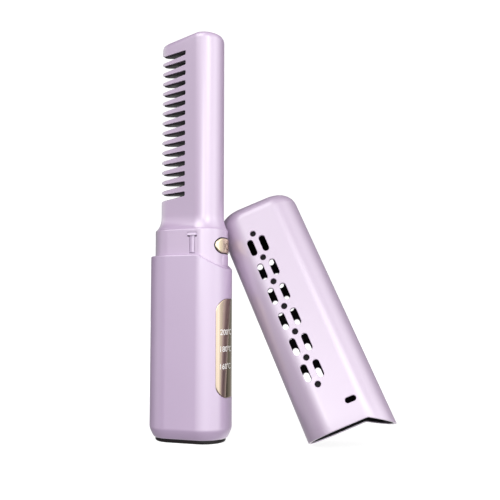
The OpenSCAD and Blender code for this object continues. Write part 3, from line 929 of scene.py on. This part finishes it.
def cap_normal(q):
    p = np.array([CAP_MI @ Vector(v) for v in q])
    dx = np.sign(p[:, 0]) * np.maximum(np.abs(p[:, 0]) - HC, 0)
    d = np.hypot(dx, p[:, 1])
    zc = CAP_L - 7.5
    up = np.maximum(p[:, 2] - zc, 0)
    side = np.maximum(d - (HB - 7.5), 1e-9)
    wall = (p[:, 2] <= zc + 1e-6)
    nx, ny = dx / np.maximum(d, 1e-6), p[:, 1] / np.maximum(d, 1e-6)
    L = np.hypot(side, up)
    hx, hz = np.where(wall, 1.0, side / L), np.where(wall, 0.0, up / L)
    N = np.c_[nx * hx, ny * hx, hz]
    on = np.where(wall, np.abs(d - HB) < 0.02, (np.abs(L - 7.5) < 0.03) & (d > HB - 7.5 + 0.01)) & (p[:, 2] > cap_edge(p[:, 0]) + 0.36)
    R = CAP_M.to_3x3()
    return np.array([R @ Vector(v) for v in N]), on


def cap_skin(name, o0, o1, r0, r1, lift0, lift1, rim):
    """Closed-top shell between two offsets of the cap's outline; r and lift give each side's top corner and top height."""
    R = []
    add = lambda o, z: R.append(stadium_ring(COLS, HB - o, z))
    for o in (HB, 10.5, 8.2):
        add(o, lift0)
    for i in range(13):
        t = math.pi / 2 * (1 - i / 12)
        add(o0 + r0 * (1 - math.cos(t)), lift0 - r0 * (1 - math.sin(t)))
    for z in np.linspace(100.0, 8.0, 17):
        add(o0, z)
    for e, dz in rim:
        o = o0 + e if e >= 0 else o1 + e
        add(o, (lambda dz: lambda x: cap_edge(x) + dz)(dz))
    for z in np.linspace(8.0, 100.0, 17):
        add(o1, z)
    for i in range(9):
        t = math.pi / 2 * i / 8
        add(o1 + r1 * (1 - math.cos(t)), lift1 - r1 * (1 - math.sin(t)))
    for o in (8.6, 10.5, HB):
        add(o, lift1)
    return sweep(name, R)


def cap():
    shell = cap_skin("cap_shell_fine", 0.0, 1.0, 7.5, 6.5, CAP_L, CAP_L - 1.0,
                     [(0, 0.35), (0.03, 0.2), (0.12, 0.09), (0.3, 0.0), (0.8, 0.0), (-0.06, 0.06), (-0.0001, 0.2)])
    cut(shell, vents(0.28, 0.0, True))
    shell.data.transform(CAP_M)
    tidy(shell, 32.0, cap_normal)
    # painted shade: the cap's lilac is painted a little darker and less blue than the handle's
    put(shell, LILAC_CAP_PAINTED_DARKER)
    done(shell, "cap", ["cap_shell"])
    liner = cap_skin("cap_liner_fine", 1.05, 1.8, 6.45, 5.7, CAP_L - 1.05, CAP_L - 1.8,
                     [(0, 0.6), (0.05, 0.5), (0.15, 0.45), (0.6, 0.45), (-0.05, 0.5), (-0.0001, 0.6)])
    relief = sweep("t", [stadium_ring(stadium_cols(HC, 60, 1), 11.85, z) for z in (-20.0, 9.4)], cap_first=True, cap_last=True)
    cut(relief, box_tool("t2", 12, 22, -8.8, 8.8, -21, 10), op="INTERSECT")
    cut(liner, relief)
    cut(liner, vents(0.05, 0.12, False))
    tidy(liner, 32.0)
    put(liner, LINER)
    done(liner, "cap", ["cap_liner"], CAP_M)


cap()

# ------------------------------------------------------------------ CAD nodes that keep their own mesh
INNER = {
    "base_screws": STEEL, "shell_screws": STEEL, "neck_screws": STEEL,
    "heater_comb": CORE,
    "chassis": mat("grey_plastic", (0.30, 0.29, 0.30), 0.5, bump=0.15, grain=1800.0, rough_vary=0.1),
    "battery_cell": mat("cell_wrap", (0.05, 0.14, 0.42), 0.35, bump=0.05, grain=900.0, vary=0.05),
    "cell_tabs": mat("nickel", (0.62, 0.60, 0.56), 0.28, metal=1.0, bump=0.08),
    "main_board": mat("circuit_board", (0.02, 0.16, 0.07), 0.4, bump=0.12, grain=1200.0, vary=0.08),
    "board_parts": mat("chip_black", (0.02, 0.02, 0.022), 0.5, bump=0.12),
    "usb_socket": mat("socket_steel", (0.60, 0.60, 0.60), 0.25, metal=1.0, bump=0.06),
    "display_leds": mat("led_white", (0.75, 0.75, 0.72), 0.5, bump=0.06),
    "heater_plates": mat("heater_ceramic", (0.74, 0.70, 0.62), 0.6, bump=0.2),
    "mica_sheet": mat("mica", (0.52, 0.42, 0.24), 0.35, bump=0.15, vary=0.1),
    "pressure_springs": mat("spring_steel", (0.50, 0.50, 0.52), 0.3, metal=1.0, bump=0.08),
    "thermistor": mat("glass_bead", (0.55, 0.16, 0.06), 0.12, bump=0.02, coat=0.4),
    "thermal_fuse": mat("fuse_can", (0.62, 0.56, 0.44), 0.3, metal=1.0, bump=0.06),
    "heater_leads": mat("lead_rubber", (0.50, 0.03, 0.02), 0.5, bump=0.15),
}
INNER["pressure_bar"] = INNER["chassis"]
INNER["heater_electrodes"] = INNER["cell_tabs"]
INNER["display_board"] = INNER["button_board"] = INNER["main_board"]
INNER["board_header"] = INNER["button_switch"] = INNER["board_parts"]
INNER["heat_barrier"] = INNER["mica_sheet"]
for name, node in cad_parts.items():
    if name in INNER:
        node.data.materials.clear()
        node.data.materials.append(INNER[name])

# ------------------------------------------------------------------ floor, world and light
def floor():
    n, s = 24, 3.0
    v = [(-s + 2 * s * i / n, -s + 2 * s * j / n, 0.0) for i in range(n + 1) for j in range(n + 1)]
    f = [(i * (n + 1) + j, (i + 1) * (n + 1) + j, (i + 1) * (n + 1) + j + 1, i * (n + 1) + j + 1) for i in range(n) for j in range(n)]
    me = bpy.data.meshes.new("floor")
    me.from_pydata(v, [], f)
    ob = bpy.data.objects.new("floor", me)
    scene.collection.objects.link(ob)
    m = mat("floor_white", (0.42, 0.42, 0.42), 0.8, bump=0.0, vary=0.0, rough_vary=0.02, spec=0.1)
    b = m.node_tree.nodes["Principled BSDF"]
    b.inputs["Emission Color"].default_value = (1, 1, 1, 1)
    b.inputs["Emission Strength"].default_value = 0.86
    put(ob, m)
    # the floor is seen, but its white doesn't flood the object from below
    ob.visible_diffuse = False
    ob.visible_glossy = False
    ob.visible_shadow = False


floor()


def area(name, az, el, dist, size, power, colour=(1, 1, 1), target=(0.03, 0, 0.1), size_y=None):
    li = bpy.data.lights.new(name, "AREA")
    li.energy = power
    li.color = colour
    li.shape = "RECTANGLE"
    li.size = size
    li.size_y = size_y or size
    ob = bpy.data.objects.new(name, li)
    scene.collection.objects.link(ob)
    a, e = math.radians(az), math.radians(el)
    back = Vector((math.sin(a) * math.cos(e), -math.cos(a) * math.cos(e), math.sin(e)))
    ob.location = Vector(target) + back * dist
    ob.rotation_euler = back.to_track_quat("Z", "Y").to_euler()
    return ob


def lit(az, el, dist, size, size_y, radiance, name):
    """Soft box by its own brightness."""
    return area(name, az, el, dist, size, radiance * math.pi * size * size_y, size_y=size_y)


lit(3, 11, 1.2, 0.32, 0.34, 2.5, "key")

# the studio round the object: pale, a little darker below and behind on the right
world = bpy.data.worlds.new("studio")
scene.world = world
world.use_nodes = True
nt = world.node_tree
W, WL = nt.nodes, nt.links
bg = W["Background"]


def wmath(op, a, b=None):
    n = W.new("ShaderNodeMath")
    n.operation = op
    for k, v in enumerate((a, b)):
        if v is None:
            continue
        if isinstance(v, (int, float)):
            n.inputs[k].default_value = v
        else:
            WL.new(v, n.inputs[k])
    return n.outputs[0]


def wramp(fac, stops):
    n = W.new("ShaderNodeValToRGB")
    e = n.color_ramp.elements
    while len(e) < len(stops):
        e.new(0.5)
    for k, (pos, col) in enumerate(stops):
        e[k].position = pos
        e[k].color = (*col, 1.0) if isinstance(col, tuple) else (col, col, col, 1.0)
    WL.new(fac, n.inputs["Fac"])
    return n.outputs["Color"]


wc = W.new("ShaderNodeTexCoord")
sp = W.new("ShaderNodeSeparateXYZ")
WL.new(wc.outputs["Generated"], sp.inputs[0])
# 0.5 is the front (-Y), 0.75 the right (+X), 0 and 1 the back
turn_ = wmath("ADD", wmath("MULTIPLY", wmath("ARCTAN2", sp.outputs["X"], wmath("MULTIPLY", sp.outputs["Y"], -1.0)), 0.5 / math.pi), 0.5)
az = lambda deg: deg / 360.0 + 0.5
el = lambda deg: 0.5 + 0.5 * math.sin(math.radians(deg))
TOP = 3.0
# a long soft box that goes from the camera's left round to the right, with a narrow one beside it, seen in the gold
side = wramp(turn_, [(p, tuple(c / TOP for c in v) if isinstance(v, tuple) else v / TOP) for p, v in [
    (0.0, 0.12), (az(-165), 0.14), (az(-110), 0.04), (az(-88), 0.08), (az(-76), 0.45), (az(-58), 0.45), (az(-45), 0.05), (az(-28), 0.05), (az(-17), 0.75), (az(0), 1.15), (az(22), 1.72), (az(55), 1.60), (az(84), 1.72),
    (az(90), 0.92), (az(100), 0.66), (az(121), 0.52), (az(126), 0.03), (az(134), 0.03), (az(137), (0.16, 0.16, 0.14)), (az(160), (0.10, 0.11, 0.10)), (1.0, 0.10)]])
band = wramp(wmath("ADD", wmath("MULTIPLY", sp.outputs["Z"], 0.5), 0.5), [
    (0.0, 0.05), (el(-30), 0.10), (el(-13), 0.75), (el(-4), 1.0), (el(17), 1.0), (el(27), 0.42), (el(45), 0.25), (1.0, 0.12)])
mul = W.new("ShaderNodeMix")
mul.data_type = "RGBA"
mul.blend_type = "MULTIPLY"
mul.inputs["Factor"].default_value = 1.0
WL.new(side, mul.inputs[6])
WL.new(band, mul.inputs[7])


def lobe(az_, el_, power, strength):
    """Round soft light in one direction."""
    a, e = math.radians(az_), math.radians(el_)
    n = W.new("ShaderNodeVectorMath")
    n.operation = "DOT_PRODUCT"
    WL.new(wc.outputs["Generated"], n.inputs[0])
    n.inputs[1].default_value = (math.sin(a) * math.cos(e), -math.cos(a) * math.cos(e), math.sin(e))
    return wmath("MULTIPLY", wmath("POWER", wmath("MAXIMUM", n.outputs["Value"], 0.0), power), strength / TOP)


soft = wmath("ADD", wmath("ADD", lobe(-30, 46, 10.0, 3.3), 0.04 / TOP), wmath("ADD", lobe(20, 8, 14.0, 0.35), wmath("ADD", lobe(34, 27, 50.0, 4.0), wmath("ADD", lobe(90, 34, 8.0, 1.3), lobe(188, -48, 6.0, 2.2)))))
total = W.new("ShaderNodeMix")
total.data_type = "RGBA"
total.blend_type = "ADD"
total.clamp_result = False
total.inputs["Factor"].default_value = 1.0
WL.new(mul.outputs[2], total.inputs[6])
WL.new(soft, total.inputs[7])
lp = W.new("ShaderNodeLightPath")
pick = W.new("ShaderNodeMix")
pick.data_type = "RGBA"
pick.inputs[7].default_value = (1.1 / TOP, 1.1 / TOP, 1.1 / TOP, 1.0)
WL.new(lp.outputs["Is Camera Ray"], pick.inputs["Factor"])
WL.new(total.outputs[2], pick.inputs[6])
WL.new(pick.outputs[2], bg.inputs["Color"])
bg.inputs["Strength"].default_value = TOP
